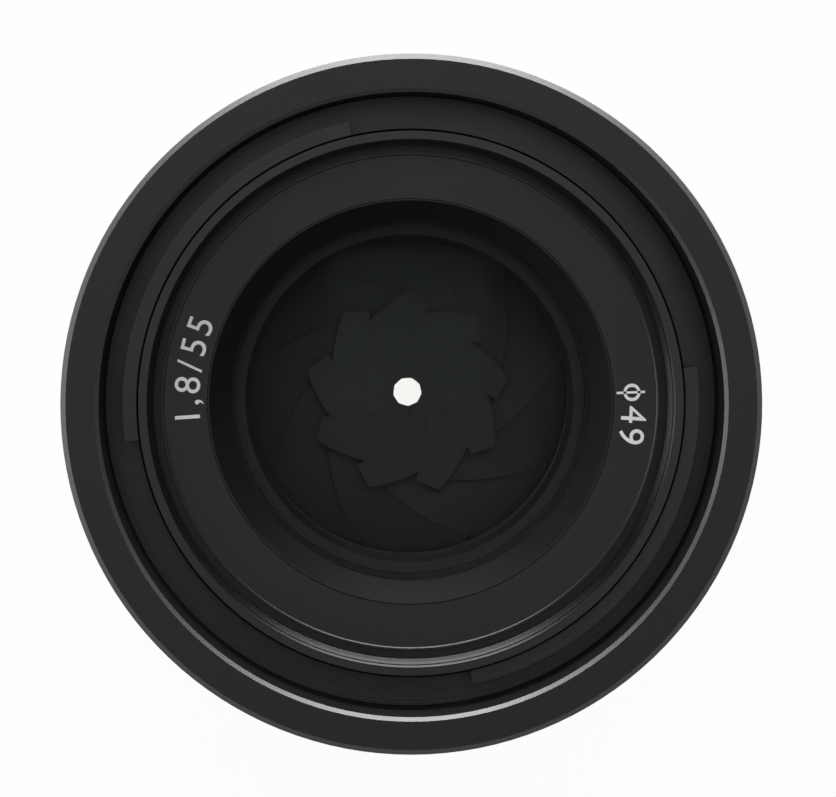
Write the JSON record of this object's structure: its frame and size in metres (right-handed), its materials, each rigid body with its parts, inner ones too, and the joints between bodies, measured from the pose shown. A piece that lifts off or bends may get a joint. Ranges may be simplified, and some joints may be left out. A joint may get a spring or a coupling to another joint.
{
  "type": "prime camera lens",
  "caption": "Black prime lens with a ribbed focus ring, a filter thread and hood lugs in front, a stopped-down iris and a metal bayonet mount.",
  "frame": {"origin": "on the optical axis at the rear end of the bayonet, where the upright lens stands", "axes": "+Z along the optical axis towards the front, -Y towards the top of the lens in use, where the index dot is"},
  "size_m": [0.0644, 0.0644, 0.0745],
  "materials": {
    "black_anodised": "satin",
    "black_plastic": "matt",
    "mount_metal": "satin",
    "glass": "coated",
    "steel": "bright",
    "brass_gold": "gold plated",
    "white_dot": "gloss",
    "board_green": "semi matt",
    "polyimide": "satin",
    "blade_black": "dry film",
    "copper": "lacquered",
    "felt": "matt"
  },
  "bodies": {
    "barrel": {"front_shell": "black_anodised", "filter_ring": "black_anodised", "rear_barrel": "black_anodised", "name_ring": "black_plastic", "front_retaining_ring": "black_plastic", "element_spacer": "black_plastic", "doublet_retaining_ring": "black_plastic", "contact_block": "black_plastic", "rear_baffle": "black_plastic", "iris_cover_plate": "black_plastic", "iris_base_plate": "black_plastic", "rear_doublet_ring": "black_plastic", "rear_retaining_ring": "black_plastic", "encoder_sensor": "black_plastic", "inner_tube": "blade_black", "front_lens_cell": "blade_black", "rear_lens_cell": "blade_black", "mount_flange": "mount_metal", "mount_screws": "steel", "contact_block_screws": "steel", "iris_screws": "steel", "guide_shafts": "steel", "iris_motor": "steel", "motor_yokes": "steel", "motor_magnets": "steel", "element_1": "glass", "element_2": "glass", "element_3": "glass", "element_5": "glass", "element_6": "glass", "element_7": "glass", "contact_pads": "brass_gold", "mount_index_dot": "white_dot", "main_circuit_board": "board_green", "flex_cable": "polyimide", "friction_band": "felt"},
    "focus_ring_body": {"focus_ring": "black_anodised", "encoder_comb": "black_plastic"},
    "focus_group": {"focus_cell": "black_plastic", "element_4": "glass", "focus_retaining_ring": "black_plastic", "motor_coil": "copper"},
    "iris_ring_body": {"iris_drive_ring": "black_plastic"},
    "iris_pinion_body": {"iris_pinion": "steel"},
    "iris_blade_1_body": {"iris_blade_1": "blade_black"},
    "iris_blade_2_body": {"iris_blade_2": "blade_black"},
    "iris_blade_3_body": {"iris_blade_3": "blade_black"},
    "iris_blade_4_body": {"iris_blade_4": "blade_black"},
    "iris_blade_5_body": {"iris_blade_5": "blade_black"},
    "iris_blade_6_body": {"iris_blade_6": "blade_black"},
    "iris_blade_7_body": {"iris_blade_7": "blade_black"},
    "iris_blade_8_body": {"iris_blade_8": "blade_black"},
    "iris_blade_9_body": {"iris_blade_9": "blade_black"}
  },
  "joints": [
    {"name": "focus_turn", "type": "hinge", "parent": "barrel", "child": "focus_ring_body", "pos_m": [0, 0, 0.039], "axis": [0, 0, 1], "continuous": true},
    {"name": "focus_travel", "type": "slide", "parent": "barrel", "child": "focus_group", "axis": [0, 0, 1], "range_m": [0, 0.007]},
    {"name": "iris_open", "type": "hinge", "parent": "barrel", "child": "iris_ring_body", "pos_m": [0, 0, 0.0419], "axis": [0, 0, 1], "range_deg": [0, 13.8]},
    {"name": "iris_pinion_turn", "type": "hinge", "parent": "barrel", "child": "iris_pinion_body", "pos_m": [-0.01639, 0.01376, 0.0419], "axis": [0, 0, 1], "range_deg": [-151.55, 0]},
    {"name": "blade_turn_1", "type": "hinge", "parent": "barrel", "child": "iris_blade_1_body", "pos_m": [0.01605, 0, 0.0426], "axis": [0, 0, 1], "range_deg": [0, 41.51]},
    {"name": "blade_turn_2", "type": "hinge", "parent": "barrel", "child": "iris_blade_2_body", "pos_m": [0.0123, 0.01032, 0.0426], "axis": [0, 0, 1], "range_deg": [0, 41.51]},
    {"name": "blade_turn_3", "type": "hinge", "parent": "barrel", "child": "iris_blade_3_body", "pos_m": [0.00279, 0.01581, 0.0426], "axis": [0, 0, 1], "range_deg": [0, 41.51]},
    {"name": "blade_turn_4", "type": "hinge", "parent": "barrel", "child": "iris_blade_4_body", "pos_m": [-0.00802, 0.0139, 0.0426], "axis": [0, 0, 1], "range_deg": [0, 41.51]},
    {"name": "blade_turn_5", "type": "hinge", "parent": "barrel", "child": "iris_blade_5_body", "pos_m": [-0.01508, 0.00549, 0.0426], "axis": [0, 0, 1], "range_deg": [0, 41.51]},
    {"name": "blade_turn_6", "type": "hinge", "parent": "barrel", "child": "iris_blade_6_body", "pos_m": [-0.01508, -0.00549, 0.0426], "axis": [0, 0, 1], "range_deg": [0, 41.51]},
    {"name": "blade_turn_7", "type": "hinge", "parent": "barrel", "child": "iris_blade_7_body", "pos_m": [-0.00803, -0.0139, 0.0426], "axis": [0, 0, 1], "range_deg": [0, 41.51]},
    {"name": "blade_turn_8", "type": "hinge", "parent": "barrel", "child": "iris_blade_8_body", "pos_m": [0.00279, -0.01581, 0.0426], "axis": [0, 0, 1], "range_deg": [0, 41.51]},
    {"name": "blade_turn_9", "type": "hinge", "parent": "barrel", "child": "iris_blade_9_body", "pos_m": [0.0123, -0.01032, 0.0426], "axis": [0, 0, 1], "range_deg": [0, 41.51]}
  ],
  "couplings": [
    {"joint": "iris_pinion_turn", "follows": "iris_open", "ratio": -10.833},
    {"joint": "blade_turn_1", "follows": "iris_open", "ratio": 3},
    {"joint": "blade_turn_2", "follows": "iris_open", "ratio": 3},
    {"joint": "blade_turn_3", "follows": "iris_open", "ratio": 3},
    {"joint": "blade_turn_4", "follows": "iris_open", "ratio": 3},
    {"joint": "blade_turn_5", "follows": "iris_open", "ratio": 3},
    {"joint": "blade_turn_6", "follows": "iris_open", "ratio": 3},
    {"joint": "blade_turn_7", "follows": "iris_open", "ratio": 3},
    {"joint": "blade_turn_8", "follows": "iris_open", "ratio": 3},
    {"joint": "blade_turn_9", "follows": "iris_open", "ratio": 3}
  ]
}
